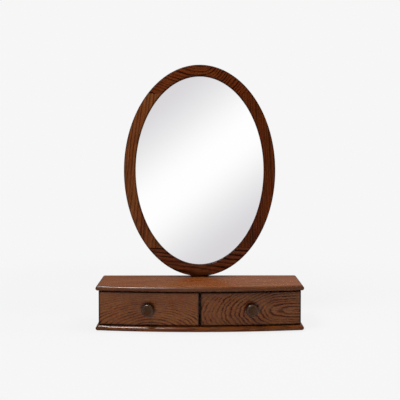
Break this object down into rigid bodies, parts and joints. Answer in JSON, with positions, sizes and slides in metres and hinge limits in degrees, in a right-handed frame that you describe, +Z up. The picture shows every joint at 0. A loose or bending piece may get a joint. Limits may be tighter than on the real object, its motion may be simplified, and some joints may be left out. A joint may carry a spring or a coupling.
{
  "type": "dressing table mirror",
  "caption": "Bow-fronted wooden case with side-by-side drawers and turned knobs, and an oval framed mirror that tilts on a rear post.",
  "frame": {"origin": "on the surface the felt feet rest on, under the middle of the whole object's bounding box", "axes": "+X to the right seen from the front, +Y to the back, +Z up; the front faces -Y"},
  "size_m": [0.5, 0.1916, 0.65],
  "materials": {
    "case_wood": "walnut-stained open-pored ash under satin lacquer",
    "front_wood": "walnut-stained ash veneer with cathedral figure under satin lacquer",
    "frame_wood": "walnut-stained ash, grain along each segment, satin lacquer",
    "knob_wood": "turned, dark-stained and lacquered",
    "inner_wood": "dark stain, no lacquer",
    "drawer_wood": "sanded pale hardwood, unstained",
    "dowel_wood": "raw beech",
    "plywood": "sanded birch plywood",
    "mirror_glass": "silvered float glass",
    "screw_steel": "zinc plated",
    "black_steel": "satin black",
    "washer_nylon": "natural nylon",
    "felt": "pressed dark felt"
  },
  "bodies": {
    "case": {"top_board": "case_wood", "bottom_board": "case_wood", "side_panel_left": "case_wood", "side_panel_right": "case_wood", "centre_divider": "inner_wood", "back_panel": "inner_wood", "case_dowels": "dowel_wood", "base_screws": "screw_steel", "drawer_stops": "drawer_wood", "drawer_bumpers": "felt", "felt_feet": "felt", "mirror_post": "case_wood", "post_screws": "screw_steel", "tilt_bolt": "black_steel", "tilt_nut": "black_steel", "bolt_washers": "screw_steel", "friction_washers": "washer_nylon", "mirror_buffer": "felt"},
    "drawer_left": {"drawer_left_front": "front_wood", "drawer_left_side_outer": "drawer_wood", "drawer_left_side_inner": "drawer_wood", "drawer_left_back": "drawer_wood", "drawer_left_bottom": "plywood", "drawer_left_dowels": "dowel_wood", "drawer_left_bottom_screws": "screw_steel", "drawer_left_knob": "knob_wood", "drawer_left_knob_screw": "screw_steel"},
    "drawer_right": {"drawer_right_front": "front_wood", "drawer_right_side_outer": "drawer_wood", "drawer_right_side_inner": "drawer_wood", "drawer_right_back": "drawer_wood", "drawer_right_bottom": "plywood", "drawer_right_dowels": "dowel_wood", "drawer_right_bottom_screws": "screw_steel", "drawer_right_knob": "knob_wood", "drawer_right_knob_screw": "screw_steel"},
    "mirror": {"frame_top": "frame_wood", "frame_bottom": "frame_wood", "frame_left": "frame_wood", "frame_right": "frame_wood", "frame_dowels": "dowel_wood", "mirror_glass": "mirror_glass", "backing_board": "plywood", "backing_clips": "screw_steel", "clip_screws": "screw_steel", "pivot_bracket": "black_steel", "bracket_screws": "screw_steel"}
  },
  "joints": [
    {"name": "drawer_left_slide", "type": "slide", "parent": "case", "child": "drawer_left", "axis": [0, -1, 0], "range_m": [0, 0.08]},
    {"name": "drawer_right_slide", "type": "slide", "parent": "case", "child": "drawer_right", "axis": [0, -1, 0], "range_m": [0, 0.08]},
    {"name": "mirror_tilt", "type": "hinge", "parent": "case", "child": "mirror", "pos_m": [0, 0.08584, 0.381], "axis": [-1, 0, 0], "range_deg": [0, 25]}
  ]
}
